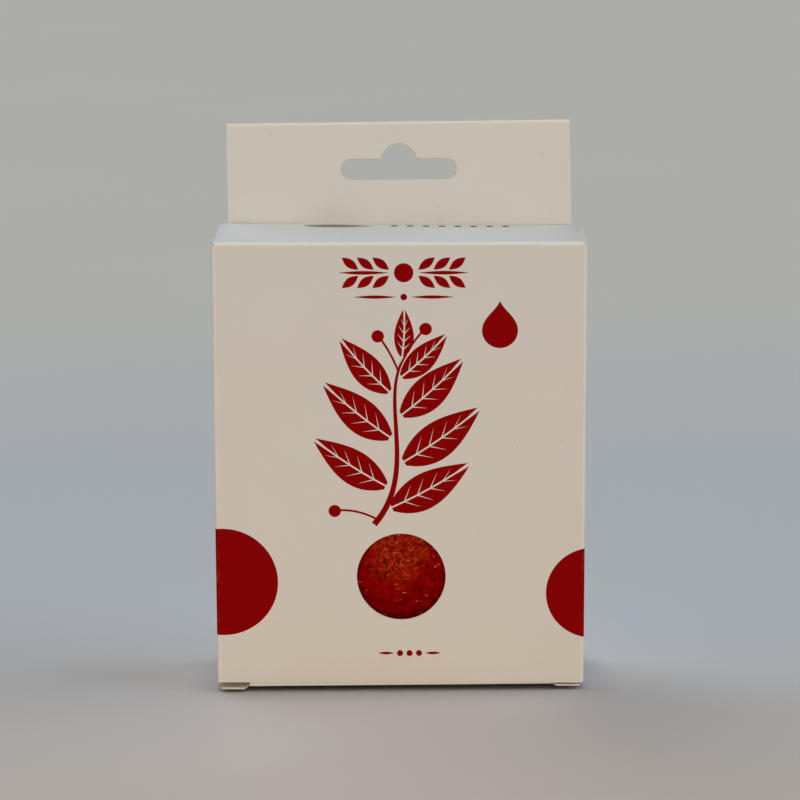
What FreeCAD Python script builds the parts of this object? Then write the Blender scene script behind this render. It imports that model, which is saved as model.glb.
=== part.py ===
"""Dry konjac sponge in a hanging window carton of folded board.

The front panel faces -Y, +X is to its right and +Z is up. The origin is on the table, under the
middle of the carton. Lengths are millimetres and angles are degrees.
"""
import FreeCAD, Part
import math
import os
from collections import namedtuple

# Carton, measured outside
carton_width = 100.0
carton_depth = 30.0
carton_height = 123.8
board = 0.45
inner_fold_radius = 0.3
crease_gap = 0.1        # opening between two panels that hinge on one crease
layer_gap = 0.15        # air between boards that lie on each other
swing_gap = 0.4         # air between a board that swings and the board it passes
glue_film = 0.1
overrun = 2.0           # how far a cutting tool runs past what it cuts
same_place = 0.001      # points nearer than this are one point

# Front panel
front_edge_lift = 1.3   # its cut lower edge, above the table
window_diameter = 24.2
window_centre_height = 31.5
window_offset = 0.3

# Top and bottom panels, with a slit at each end of the tuck crease
closure_side_inset = 0.6
slit_length = 7.9
ear_corner_radius = 2.4

# Tuck flaps
tuck_length = 10.0
tuck_lean = 10.0        # inward from upright, so that the tip passes the wall behind it
tuck_side_inset = 0.5
tuck_shoulder_drop = 0.8
tuck_corner_radius = 6.0

# Dust flaps
flap_length = 28.0
flap_crease_setback = 1.3
flap_taper_share = 0.5  # setback gained for each unit of length, so that the lid leads the flap
flap_tuck_setback = 1.6
flap_corner_radius = 4.0

# Side seam, at the left back corner
seam_flap_width = 12.0
seam_flap_taper = 4.0
seam_edge_inset = 0.3
seam_glue_inset = 2.0

# Hanging tab of two plies
tab_width = 94.5
tab_rise = 28.3         # above the lid
tab_crease_drop = 0.8   # crease at the tab's foot, below the top of the lid
slot_length = 32.0
slot_height = 5.8
slot_rise = 15.4        # middle of the slot above the lid
bump_radius = 5.0
bump_rise = 2.1         # centre of the round bump above the middle of the slot
bump_fillet = 0.7
ply_shift = 0.4         # how far the rear ply's slot is out of register
tab_glue_width = 22.0
tab_glue_inset = 4.0

# Sponge
sponge_side_room = 10.5
sponge_front_room = 1.15
sponge_back_room = 0.4
sponge_seat_gap = 0.3
sponge_rim_depth = 7.0
sponge_back_radius = 5.0
sponge_shoulder_share = 0.6  # radius of the dome's shoulder, of the dome's height

# Places worked out from the sizes above
half_width = carton_width / 2
half_depth = carton_depth / 2
fold_radius = inner_fold_radius + board
gap_angle = math.degrees(crease_gap / 2 / fold_radius)
front_inside = -half_depth + board
back_inside = half_depth - board
seam_face = back_inside - glue_film
inner_ply_face = seam_face - board
closure_half_width = half_width - closure_side_inset
ear_start = closure_half_width - slit_length
flap_depth = board + layer_gap
tab_crease_height = carton_height - tab_crease_drop
tab_top = carton_height + tab_rise

X = FreeCAD.Vector(1, 0, 0)
Y = FreeCAD.Vector(0, 1, 0)
Z = FreeCAD.Vector(0, 0, 1)

# One end of the carton: its outer hinge corner, the way from there to the tuck, the way into the
# carton, how far the tuck crease lies from the hinge corner, and how far the slit ears reach
Closure = namedtuple("Closure", "corner along inward reach ear_reach")

lid_reach = inner_ply_face - swing_gap + half_depth
base_reach = half_depth - front_inside - swing_gap
top = Closure(FreeCAD.Vector(0, -half_depth, carton_height), Y, -Z, lid_reach, lid_reach)
bottom = Closure(FreeCAD.Vector(0, half_depth, 0), -Y, Z, base_reach, carton_depth)


def block(low, high):
    """Rectangular block between two corners."""
    size = high - low
    return Part.makeBox(size.x, size.y, size.z, low)


def joined(first, *others):
    """One solid from pieces that share faces."""
    return first.multiFuse(list(others)).removeSplitter().Solids[0]


def rounded_sheet(corners, through):
    """Flat sheet from (corner, radius) pairs, swept through a vector."""
    edges = []
    last_end = None
    first_start = None
    for index, (here, radius) in enumerate(corners):
        before = corners[index - 1][0]
        after = corners[(index + 1) % len(corners)][0]
        start = here
        end = here
        if radius > 0:
            to_before = (before - here).normalize()
            to_after = (after - here).normalize()
            half_turn = to_before.getAngle(to_after) / 2
            start = here + to_before * (radius / math.tan(half_turn))
            end = here + to_after * (radius / math.tan(half_turn))
            bisector = (to_before + to_after).normalize()
            middle = here + bisector * (radius / math.sin(half_turn) - radius)
        if last_end is None:
            first_start = start
        elif last_end.distanceToPoint(start) > same_place:
            edges.append(Part.LineSegment(last_end, start).toShape())
        if radius > 0:
            edges.append(Part.Arc(start, middle, end).toShape())
        last_end = end
    if last_end.distanceToPoint(first_start) > same_place:
        edges.append(Part.LineSegment(last_end, first_start).toShape())
    return Part.Face(Part.Wire(edges)).extrude(through)


def fold(centre, outward, turn, sweep, along, inner_radius=inner_fold_radius):
    """Part of a crease: board bent about a centre line, from one outward normal towards another."""
    def ray(angle, radius):
        lean = math.radians(angle)
        return centre + (outward * math.cos(lean) + turn * math.sin(lean)) * radius

    outer_radius = inner_radius + board
    outer = Part.Arc(ray(0, outer_radius), ray(sweep / 2, outer_radius), ray(sweep, outer_radius))
    inner = Part.Arc(ray(sweep, inner_radius), ray(sweep / 2, inner_radius), ray(0, inner_radius))
    end_cut = Part.LineSegment(ray(sweep, outer_radius), ray(sweep, inner_radius))
    start_cut = Part.LineSegment(ray(0, inner_radius), ray(0, outer_radius))
    edges = [outer.toShape(), end_cut.toShape(), inner.toShape(), start_cut.toShape()]
    return Part.Face(Part.Wire(edges)).extrude(along)


def place(closure, x, along, inward):
    """Point of a closure: across the carton, from the hinge towards the tuck, and into the carton."""
    return closure.corner + X * x + closure.along * along + closure.inward * inward


def flap_start(x_from_crease):
    """Where a dust flap's edge beside the closure's hinge begins, measured from that hinge."""
    return flap_crease_setback + flap_taper_share * x_from_crease


def flap_end(closure):
    """Where a dust flap's edge beside the tuck ends, measured from the closure's hinge."""
    return closure.reach - flap_tuck_setback


def make_front_panel():
    low = front_edge_lift
    high = carton_height - fold_radius
    flat_half = half_width - fold_radius
    panel = block(FreeCAD.Vector(-flat_half, -half_depth, low), FreeCAD.Vector(flat_half, front_inside, high))
    bends = []
    for side in (-X, X):
        centre = side * flat_half + Y * (fold_radius - half_depth) + Z * low
        bends.append(fold(centre, -Y, side, 45, Z * (high - low)))
    centre = place(top, -closure_half_width, fold_radius, fold_radius)
    bends.append(fold(centre, -Y, Z, 45 - gap_angle, X * (2 * closure_half_width)))
    window = Part.makeCylinder(
        window_diameter / 2,
        board + 2 * overrun,
        FreeCAD.Vector(window_offset, -half_depth - overrun, window_centre_height),
        Y,
    )
    return joined(panel, *bends).cut(window).Solids[0]


def make_side_panel(side, back_corner):
    """Side wall with its four creases; back_corner is where the back crease's outer corner lies."""
    low = flap_depth + fold_radius
    high = carton_height - flap_depth - fold_radius
    front = fold_radius - half_depth
    back = back_corner - fold_radius
    outer = side * half_width
    axis = side * (half_width - fold_radius)
    panel = rounded_sheet(
        [
            (outer + Y * front + Z * low, 0),
            (outer + Y * back + Z * low, 0),
            (outer + Y * back + Z * high, 0),
            (outer + Y * front + Z * high, 0),
        ],
        side * -board,
    )
    bends = [
        fold(axis + Y * front + Z * low, side, -Y, 45, Z * (high - low)),
        fold(axis + Y * back + Z * low, side, Y, 45, Z * (high - low)),
    ]
    for closure in (top, bottom):
        start = flap_start(0)
        run = flap_end(closure) - start
        centre = place(closure, 0, start, flap_depth + fold_radius) + axis
        bends.append(fold(centre, side, -closure.inward, 45 - gap_angle, closure.along * run))
    return joined(panel, *bends)


def make_back_panel():
    low = fold_radius
    high = tab_crease_height - crease_gap / 2
    left = seam_edge_inset - half_width
    right = half_width - fold_radius
    panel = block(FreeCAD.Vector(left, back_inside, low), FreeCAD.Vector(right, half_depth, high))
    side_low = flap_depth + fold_radius
    side_high = carton_height - flap_depth - fold_radius
    axis = X * right + Y * (half_depth - fold_radius)
    corner = fold(axis + Z * side_low, Y, X, 45, Z * (side_high - side_low))
    centre = place(bottom, -closure_half_width, fold_radius, fold_radius)
    hinge = fold(centre, Y, -Z, 45 - gap_angle, X * (2 * closure_half_width))
    return joined(panel, corner, hinge)


def make_seam_flap():
    """Glue flap, creased to the left side panel and lying inside the back panel."""
    low = flap_depth + fold_radius
    high = carton_height - flap_depth - fold_radius
    root = X * (fold_radius - half_width) + Y * seam_face
    edge = X * (seam_flap_width - half_width) + Y * seam_face
    flap = rounded_sheet(
        [
            (root + Z * low, 0),
            (edge + Z * (low + seam_flap_taper), 0),
            (edge + Z * (high - seam_flap_taper), 0),
            (root + Z * high, 0),
        ],
        Y * -board,
    )
    centre = root - Y * fold_radius + Z * low
    return joined(flap, fold(centre, Y, -X, 45, Z * (high - low)))


def make_seam_glue():
    left = fold_radius + seam_glue_inset - half_width
    right = seam_flap_width - seam_glue_inset - half_width
    low = flap_depth + fold_radius + seam_flap_taper
    high = carton_height - low
    return block(FreeCAD.Vector(left, seam_face, low), FreeCAD.Vector(right, back_inside, high))


def make_closure_panel(closure):
    """Lid or base: flat panel with half a crease at its hinge, half at its tuck, and two slit ears."""
    near = fold_radius
    far = closure.reach - fold_radius
    outline = [
        (-closure_half_width, near, 0),
        (closure_half_width, near, 0),
        (closure_half_width, closure.ear_reach, ear_corner_radius),
        (ear_start, closure.ear_reach, 0),
        (ear_start, far, 0),
        (-ear_start, far, 0),
        (-ear_start, closure.ear_reach, 0),
        (-closure_half_width, closure.ear_reach, ear_corner_radius),
    ]
    corners = [(place(closure, x, along, 0), radius) for x, along, radius in outline]
    panel = rounded_sheet(corners, closure.inward * board)
    outward = -closure.inward
    hinge_axis = place(closure, -closure_half_width, near, fold_radius)
    hinge = fold(hinge_axis, outward, -closure.along, 45 - gap_angle, X * (2 * closure_half_width))
    tuck_axis = place(closure, -ear_start, far, fold_radius)
    half_bend = (90 + tuck_lean) / 2
    tuck = fold(tuck_axis, outward, closure.along, half_bend - gap_angle, X * (2 * ear_start))
    return joined(panel, hinge, tuck)


def make_tuck_flap(closure):
    """Tuck flap, leaning inward from its crease, with shoulders under the slit ears."""
    lean = math.radians(tuck_lean)
    outward = closure.along * math.cos(lean) + closure.inward * math.sin(lean)
    down = closure.inward * math.cos(lean) - closure.along * math.sin(lean)
    axis = place(closure, 0, closure.reach - fold_radius, fold_radius)
    start = axis + outward * fold_radius
    half = closure_half_width - tuck_side_inset
    length = tuck_length - fold_radius
    outline = [
        (-ear_start, 0, 0),
        (ear_start, 0, 0),
        (ear_start, tuck_shoulder_drop, 0),
        (half, tuck_shoulder_drop, 0),
        (half, length, tuck_corner_radius),
        (-half, length, tuck_corner_radius),
        (-half, tuck_shoulder_drop, 0),
        (-ear_start, tuck_shoulder_drop, 0),
    ]
    corners = [(start + X * x + down * drop, radius) for x, drop, radius in outline]
    flap = rounded_sheet(corners, outward * -board)
    half_bend = (90 + tuck_lean) / 2
    bend = fold(axis - X * ear_start, outward, -down, half_bend - gap_angle, X * (2 * ear_start))
    return joined(flap, bend)


def make_dust_flap(closure, side):
    """Dust flap, creased to a side panel and lying inside a closure panel."""
    root = half_width - fold_radius
    tip = half_width - flap_length
    outline = [
        (root, flap_start(0), 0),
        (tip, flap_start(flap_length), flap_corner_radius),
        (tip, flap_end(closure), flap_corner_radius),
        (root, flap_end(closure), 0),
    ]
    corners = [(place(closure, side.x * x, along, flap_depth), radius) for x, along, radius in outline]
    flap = rounded_sheet(corners, closure.inward * board)
    start = flap_start(0)
    run = flap_end(closure) - start
    axis = place(closure, side.x * root, start, flap_depth + fold_radius)
    bend = fold(axis, -closure.inward, side, 45 - gap_angle, closure.along * run)
    return joined(flap, bend)


def hanging_slot(shift):
    """Cutting tool for the hanging slot: a long round-ended slot with a round bump above it."""
    middle = FreeCAD.Vector(-shift, inner_ply_face - overrun, carton_height + slot_rise - shift)
    deep = half_depth - inner_ply_face + 2 * overrun
    end_radius = slot_height / 2
    reach = slot_length / 2
    corners = [
        (middle - X * reach - Z * end_radius, end_radius),
        (middle + X * reach - Z * end_radius, end_radius),
        (middle + X * reach + Z * end_radius, end_radius),
        (middle - X * reach + Z * end_radius, end_radius),
    ]
    bump = Part.makeCylinder(bump_radius, deep, middle + Z * bump_rise, Y)
    tool = joined(rounded_sheet(corners, Y * deep), bump)
    neck = math.sqrt(bump_radius**2 - (end_radius - bump_rise) ** 2)
    edges = []
    for side in (-1, 1):
        corner = Part.LineSegment(
            middle + X * (side * neck) + Z * end_radius,
            middle + X * (side * neck) + Z * end_radius + Y * deep,
        )
        for edge in tool.Edges:
            if edge.CenterOfMass.distanceToPoint(corner.toShape().CenterOfMass) < same_place:
                edges.append(edge)
    return tool.makeFillet(bump_fillet, edges)


def make_tab_ply(outward, foot, shift):
    """One ply of the hanging tab, from its foot up to the middle of the fold along the top."""
    outer_face = half_depth if outward.y > 0 else inner_ply_face
    half = tab_width / 2
    fold_outer = glue_film / 2 + board
    high = tab_top - fold_outer
    corners = [
        (X * -half + Y * outer_face + Z * foot, 0),
        (X * half + Y * outer_face + Z * foot, 0),
        (X * half + Y * outer_face + Z * high, 0),
        (X * -half + Y * outer_face + Z * high, 0),
    ]
    ply = rounded_sheet(corners, outward * -board)
    axis = X * -half + Y * outer_face - outward * fold_outer + Z * high
    bend = fold(axis, outward, Z, 90, X * tab_width, glue_film / 2)
    return joined(ply, bend).cut(hanging_slot(shift)).Solids[0]


def make_tab_glue():
    """Two patches of glue between the plies, one at each end of the tab."""
    low = carton_height + tab_glue_inset
    high = tab_top - tab_glue_inset
    patches = []
    for side in (-1, 1):
        near = side * (tab_width / 2 - tab_glue_inset)
        far = side * (tab_width / 2 - tab_glue_inset - tab_glue_width)
        patches.append(
            block(
                FreeCAD.Vector(min(near, far), seam_face, low),
                FreeCAD.Vector(max(near, far), back_inside, high),
            )
        )
    return Part.makeCompound(patches)


def make_sponge():
    """Half-ball with a flat back, a rounded back edge and a dome of two arcs towards the window."""
    radius = half_width - board - sponge_side_room
    back = inner_ply_face - sponge_back_room
    front = front_inside + sponge_front_room
    rim = back - sponge_rim_depth
    height = rim - front
    shoulder = sponge_shoulder_share * height
    crown = ((radius - shoulder) ** 2 + height**2 - shoulder**2) / (2 * (height - shoulder))
    centre = Z * (board + sponge_seat_gap + radius)

    def point(across, depth):
        return centre + X * across + Y * depth

    def arc(middle, radius, start, end):
        """Arc about a centre from one direction to another, in degrees from +X towards +Y."""
        rays = []
        for turn in (start, (start + end) / 2, end):
            lean = math.radians(turn)
            rays.append(middle + (X * math.cos(lean) + Y * math.sin(lean)) * radius)
        return Part.Arc(*rays).toShape()

    shoulder_centre = point(radius - shoulder, rim)
    crown_centre = point(0, front + crown)
    to_shoulder = shoulder_centre - crown_centre
    meeting = math.degrees(math.atan2(to_shoulder.y, to_shoulder.x))
    edge_centre = point(radius - sponge_back_radius, back - sponge_back_radius)
    edges = [
        Part.LineSegment(point(0, front), point(0, back)).toShape(),
        Part.LineSegment(point(0, back), edge_centre + Y * sponge_back_radius).toShape(),
        arc(edge_centre, sponge_back_radius, 90, 0),
        Part.LineSegment(edge_centre + X * sponge_back_radius, point(radius, rim)).toShape(),
        arc(shoulder_centre, shoulder, 0, meeting),
        arc(crown_centre, crown, meeting, -90),
    ]
    return Part.Face(Part.Wire(edges)).revolve(centre, Y, 360)


pieces = {
    "front_panel": make_front_panel(),
    "back_panel": make_back_panel(),
    "left_side_panel": make_side_panel(-X, seam_face),
    "right_side_panel": make_side_panel(X, half_depth),
    "seam_flap": make_seam_flap(),
    "seam_glue": make_seam_glue(),
    "top_panel": make_closure_panel(top),
    "top_tuck_flap": make_tuck_flap(top),
    "top_left_dust_flap": make_dust_flap(top, -X),
    "top_right_dust_flap": make_dust_flap(top, X),
    "bottom_panel": make_closure_panel(bottom),
    "bottom_tuck_flap": make_tuck_flap(bottom),
    "bottom_left_dust_flap": make_dust_flap(bottom, -X),
    "bottom_right_dust_flap": make_dust_flap(bottom, X),
    "hang_tab_rear_ply": make_tab_ply(Y, tab_crease_height + crease_gap / 2, ply_shift),
    "hang_tab_front_ply": make_tab_ply(-Y, tab_crease_height + crease_gap, 0),
    "hang_tab_glue": make_tab_glue(),
    "konjac_sponge": make_sponge(),
}

os.makedirs("parts", exist_ok=True)
for name, shape in pieces.items():
    shape.exportStep(f"parts/{name}.step")
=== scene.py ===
"""Looks of a dry konjac sponge in a hanging window carton of folded, printed board.

Lengths are millimetres in the part's own frame and become metres when a mesh is made.
The front panel faces -Y, +X is to its right and +Z is up.
"""
import math

import bpy
import numpy as np
from mathutils import Matrix, Vector
from mathutils.geometry import delaunay_2d_cdt


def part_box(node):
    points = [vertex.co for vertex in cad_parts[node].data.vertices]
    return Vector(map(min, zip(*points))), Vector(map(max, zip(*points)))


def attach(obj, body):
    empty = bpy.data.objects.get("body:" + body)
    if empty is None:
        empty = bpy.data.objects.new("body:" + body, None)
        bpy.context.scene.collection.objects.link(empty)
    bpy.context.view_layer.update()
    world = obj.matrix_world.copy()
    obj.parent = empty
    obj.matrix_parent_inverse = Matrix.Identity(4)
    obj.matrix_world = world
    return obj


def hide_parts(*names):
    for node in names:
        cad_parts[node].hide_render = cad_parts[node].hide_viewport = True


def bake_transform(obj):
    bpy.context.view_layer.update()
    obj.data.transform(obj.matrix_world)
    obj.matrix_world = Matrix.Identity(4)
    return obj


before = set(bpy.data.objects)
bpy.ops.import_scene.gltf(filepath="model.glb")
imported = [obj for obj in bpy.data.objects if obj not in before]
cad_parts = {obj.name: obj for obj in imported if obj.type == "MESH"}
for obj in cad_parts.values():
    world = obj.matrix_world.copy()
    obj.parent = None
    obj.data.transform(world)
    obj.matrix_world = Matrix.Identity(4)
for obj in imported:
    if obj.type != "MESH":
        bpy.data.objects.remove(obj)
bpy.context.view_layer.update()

METRE = 1000.0


def low(node, axis):
    """Lowest place of a solid along an axis."""
    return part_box(node)[0]["xyz".index(axis)] * METRE


def high(node, axis):
    """Highest place of a solid along an axis."""
    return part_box(node)[1]["xyz".index(axis)] * METRE


# Carton, from the solids
side_swell = 0.3    # how far each side of the filled carton stands out
left = low("left_side_panel", "x") - side_swell
right = high("right_side_panel", "x") + side_swell
front = low("front_panel", "y")
back = high("back_panel", "y")
lid_top = high("top_panel", "z")
closure_half = high("top_panel", "x")
lid_reach = high("top_tuck_flap", "y") - front
base_reach = back - low("bottom_tuck_flap", "y")
seam_edge = high("seam_flap", "x")
seam_face = high("seam_flap", "y")
back_edge = low("back_panel", "x")
tab_half = high("hang_tab_rear_ply", "x")
tab_top = high("hang_tab_rear_ply", "z")
tab_front_foot = low("hang_tab_front_ply", "z")

# Board
board = 0.45
fold_radius = 0.75
layer_gap = 0.15
crease_margin = 0.3     # flat strip of a crease piece, beside its bend
bend_steps = 12
guard = 0.5             # from a bend to the nearest line of the mesh beside it
mesh_step = 6.0
closure_step = 3.5      # finer, for the lid and the bottom panel
overrun = 2.0           # how far a line of a mesh runs past the outline that cuts it
merge_distance = 1e-5
sharp_angle = 35
crease_mark_slope = 1.6
upright_crease_mark = 0.45         # strength of the crease mark on the upright creases, against 1 for the others; it pales the board as worn fibre with a painted highlight, and cracks the ink
front_edge_lift = 1.13      # of the front panel's cut lower edge, in its middle
front_edge_tilt = 0.0017    # fall of that edge for each millimetre to the right
front_edge_bow = 1.5        # how far that edge bows out, in its middle
front_bow_fade = 30.0       # height over which that bow dies away
front_bulge = 0.22
side_bulge = -0.15
back_bulge = 0.15
seam_taper = 4.0
coated_slot, red_slot, bare_slot, cut_slot, grey_slot = range(5)    # places in board_materials

# Window and printed shapes on the front, as places across it and above the table
window_centre = (0.3, 31.5)
window_radius = 12.1
left_disc_centre = (-48.43, 29.85)
left_disc_radius = 15.08
right_disc_centre = (52.54, 26.66)
right_disc_radius = 12.75
drop_tip = (27.0, 107.94)
drop_foot = 95.0
drop_radius = 4.83
drop_waist_share = 0.72     # handles of the drop's curved sides, as shares of its radius
drop_neck_share = 0.55
drop_point_share = 0.2

# Print of the builder's own on the front: a twig, a garland and a small rule
twig = ((-7.0, 46.2), (5.0, 60.0), (-5.0, 79.0), (0.5, 91.0))
twig_widths = (1.7, 0.7)
twig_leaves = (     # place along the twig as a share, heading in degrees and length
    (0.09, 24, 26.0),
    (0.22, 152, 25.0),
    (0.36, 30, 27.0),
    (0.50, 146, 25.0),
    (0.63, 37, 24.0),
    (0.77, 138, 21.0),
    (0.87, 38, 18.0),
    (1.00, 82, 14.0),
)
twig_buds = ((0.03, 168, 12.0), (0.97, 56, 12.5), (0.94, 120, 11.0))
leaf_ends = (0.04, 0.96)    # of a leaf's blade, as shares of its length
leaf_fullness = 0.8
leaf_width_share = 0.38
leaf_gap = 1.2
leaf_bow_share = 0.1
vein_gap = 0.22
vein_slant_share = 0.13
vein_reach_share = 0.72
bud_radius = 1.7
bud_stalk_width = 0.6
bud_handle_share = 0.3
bud_bow_share = 0.12
garland_centre = (1.2, 115.6)
garland_half = 17.6
garland_disc_radius = 2.6
garland_disc_gap = 1.3
garland_stem_width = 1.0
garland_leaf = 5.6
garland_leaf_width = 2.3
garland_leaf_way = (0.8, 0.6)
garland_leaf_gap = 0.8
garland_leaf_pairs = 3
garland_end_gap = 5.5       # from the last leaves to the stem's end
garland_rule_drop = 6.6
garland_rule_insets = (1.8, 4.0)    # from the middle, and from the stem's end
garland_rule_width = 0.9
garland_dot_radius = 0.9
small_rule_centre = (2.5, 9.9)
small_rule_ends = (4.2, 8.6)
small_rule_width = 0.8
small_dot_radius = 0.85
small_dot_step = 2.6

# Print of the builder's own on the lid, as places across it and from its rear edge
lid_leaf_base = (-27.0, 3.6)
lid_leaf_length = 21.0
lid_leaf_width = 4.2
lid_leaf_veins = 6
lid_dot_ends = (-1.5, 29.0)
lid_dot_count = 8
lid_dot_inset = 2.9
lid_dot_radius = 1.1

# Top and bottom panels
slit_length = 7.9
ear_corner = (3.0, 0.6)     # outer corner of a bottom ear, across and along
ear_slant = 1.3             # of an ear's inner end
left_ear_extra = 0.5        # how far the left ear stands out of the front
left_ear_droop = 0.6        # the left ear hangs down, and the right one stands up a little
right_ear_droop = -0.15
base_lift = 0.07            # of the bottom panel's front crease, in its middle
base_tilt = 0.008           # rise of that crease for each millimetre to the right
base_rise_power = 6         # the higher, the closer to that crease the panel rises
base_fold_radius = 0.35     # of the crease between the bottom panel and its tuck flap
lid_left_corner = (2.3, 6.0)    # soft rear corners of the lid, across and along
lid_right_corner = (1.2, 4.0)
lid_rise = 0.09             # of the lid's rear edge, in its middle
lid_tilt = 0.0102           # fall of that edge for each millimetre to the right
lid_least_rise = -0.1
lid_bulge = 0.25
base_bulge = -1.1           # outward: the filled carton stands on the middle of its bottom panel

# Tuck flaps and dust flaps
tuck_length = 10.0
tuck_lean = 10.0
tuck_side_inset = 0.5
tuck_shoulder_drop = 0.8
tuck_corner_radius = 6.0
flap_taper_share = 0.5
flap_corner_radius = 4.0
flap_lines = 9          # mesh lines across a flap
flap_settle = 6.0       # from a lower flap's crease to where it lies on the bottom panel
flap_headings = {"top": {"right": 90, "left": 180}, "bottom": {"right": 0, "left": 270}}

# Hanging tab
tab_fold = 123.0        # height of the crease at its foot
tab_margin = 0.7
tab_fold_radius = 0.5
tab_shift = -0.415      # of the top edge to the right, and its growth for each millimetre across
tab_growth = -0.0071
tab_lift = 0.075        # of the top edge, and its rise for each millimetre to the right
tab_tilt = 0.0107
tab_bulge = 0.25
slot_centre = 139.2
slot_half_length = 16.0
slot_half_height = 2.9
bump_radius = 5.0
bump_rise = 2.1
bump_fillet = 0.7
ply_shift = 0.4

side_low = board + layer_gap + fold_radius
side_high = lid_top - side_low
ear_start = closure_half - slit_length
front_flat = right - fold_radius
tuck_run = tuck_length - fold_radius


class Path:
    """Outer face of bent board in section: runs and left bends, with the outside to the right."""

    def __init__(self, start, heading, *steps):
        self.legs = []
        self.bends = []
        place = np.array(start, float)
        angle = math.radians(heading)
        distance = 0.0
        for length, turn in steps:
            curve = math.radians(turn) / length
            self.legs.append((distance, place, angle, curve))
            if turn:
                self.bends.append((distance, distance + length))
            place = self.leg_point(place, angle, curve, np.array([length]))[0]
            angle += curve * length
            distance += length
        self.length = distance

    @staticmethod
    def leg_point(place, angle, curve, along):
        if curve == 0:
            return place + np.outer(along, (math.cos(angle), math.sin(angle)))
        turned = angle + curve * along
        across = (np.sin(turned) - math.sin(angle)) / curve
        up = (math.cos(angle) - np.cos(turned)) / curve
        return place + np.column_stack([across, up])

    def at(self, distance):
        """Points and outward normals at distances along the path."""
        points = np.zeros((len(distance), 2))
        normals = np.zeros((len(distance), 2))
        for start, place, angle, curve in self.legs:
            here = distance >= start if start > 0 else np.full(len(distance), True)
            along = distance[here] - start
            points[here] = self.leg_point(place, angle, curve, along)
            turned = angle + curve * along
            normals[here] = np.column_stack([np.sin(turned), -np.cos(turned)])
        return points, normals

    def crease(self, distance):
        """1 on the bends, falling to 0 beside them."""
        crease_mark = np.zeros(len(distance))
        for start, end in self.bends:
            off = np.abs(distance - (start + end) / 2)
            reach = (end - start) / 2 + guard
            crease_mark = np.maximum(crease_mark, np.clip(crease_mark_slope * (1 - off / reach), 0, 1))
        return crease_mark

    def bend_lines(self):
        """Distances at which a mesh needs a line to follow the bends."""
        lines = []
        for start, end in self.bends:
            lines += [start - guard, *np.linspace(start, end, bend_steps + 1), end + guard]
        return lines


def run(length):
    return (length, 0.0)


def bend(turn, radius=fold_radius):
    return (math.radians(turn) * radius, turn)


def crease_path(start, heading, turn=90, radius=fold_radius):
    """Section of a crease: a bend between flat margins, the last one longer if the bend is tight."""
    last = crease_margin + (fold_radius - radius)
    return Path(start, heading, run(crease_margin), bend(turn, radius), run(last))


def hump(value, start, end):
    """0 at two ends and outside them, and 1 halfway between."""
    share = np.clip((value - start) / (end - start), 0, 1)
    return np.sin(np.pi * share) ** 2


def heading_way(heading):
    """Unit step in a heading in degrees."""
    return np.array([math.cos(math.radians(heading)), math.sin(math.radians(heading))])


def arc(centre, radius, start, end, steps):
    """Points on an arc, from one angle to another in degrees."""
    turns = np.radians(np.linspace(start, end, steps + 1))
    return [(centre[0] + radius * math.cos(t), centre[1] + radius * math.sin(t)) for t in turns]


def disc(centre, radius, steps=72):
    return arc(centre, radius, 0, 360, steps)[:-1]


def curve_point(handles, share):
    """Place on a cubic curve with four handles, at a share of its way."""
    a, b, c, d = (np.array(handle, float) for handle in handles)
    rest = 1 - share
    return rest**3 * a + 3 * rest * rest * share * b + 3 * rest * share * share * c + share**3 * d


def curve_points(handles, steps):
    """Points on a cubic curve, without its last point."""
    return [tuple(curve_point(handles, share)) for share in np.linspace(0, 1, steps + 1)[:-1]]


def rounded(corners, steps=10):
    """Outline from (x, y, radius) corners, with round corners where the radius isn't 0."""
    outline = []
    for index, (x, y, radius) in enumerate(corners):
        here = Vector((x, y))
        if radius == 0:
            outline.append((x, y))
            continue
        to_before = (Vector(corners[index - 1][:2]) - here).normalized()
        to_after = (Vector(corners[(index + 1) % len(corners)][:2]) - here).normalized()
        half_turn = to_before.angle(to_after) / 2
        reach = radius / math.tan(half_turn)
        start = here + to_before * reach
        end = here + to_after * reach
        centre = here + (to_before + to_after).normalized() * (radius / math.sin(half_turn))
        for share in np.linspace(0, 1, steps + 1):
            outline.append(tuple(centre + (start - centre).slerp(end - centre, share)))
    return outline


def grid(low_corner, high_corner, step=mesh_step):
    """Evenly spaced points inside a rectangle."""
    axes = []
    for a, b in zip(low_corner, high_corner):
        count = max(2, round((b - a) / step) + 1)
        axes.append(np.linspace(a, b, count)[1:-1])
    return [(x, y) for x in axes[0] for y in axes[1]]


def counter_clockwise(loop):
    points = np.array(loop)
    following = np.roll(points, -1, axis=0)
    area = np.sum(points[:, 0] * following[:, 1] - following[:, 0] * points[:, 1])
    return loop if area > 0 else loop[::-1]


def flat_mesh(outline, holes, inks, lines, points):
    """Points and triangles of a flat outline with holes, and whether each triangle is inked."""
    coords = []
    loops = []
    edges = []
    for loop in [outline, *holes, *inks]:
        loops.append(list(range(len(coords), len(coords) + len(loop))))
        coords += counter_clockwise(loop)
    for start, end in lines:
        edges.append((len(coords), len(coords) + 1))
        coords += [start, end]
    flat = [Vector(p) for p in [*coords, *points]]
    places, _, faces, _, _, owners = delaunay_2d_cdt(flat, edges, loops, 0, merge_distance)
    hole_numbers = set(range(1, 1 + len(holes)))
    kept = []
    inked = []
    for face, owner in zip(faces, owners):
        if 0 in owner and not hole_numbers & set(owner):
            kept.append(face)
            inked.append(any(number > len(holes) for number in owner))
    used = sorted({corner for face in kept for corner in face})
    number = {corner: index for index, corner in enumerate(used)}
    triangles = [[number[corner] for corner in face] for face in kept]
    return np.array(places)[used], triangles, inked


def rim_edges(triangles):
    """Edges that only one triangle has."""
    edges = {}
    for face in triangles:
        for edge in zip(face, face[1:] + face[:1]):
            edges[edge] = True
    return [(start, end) for start, end in edges if (end, start) not in edges]


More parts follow.
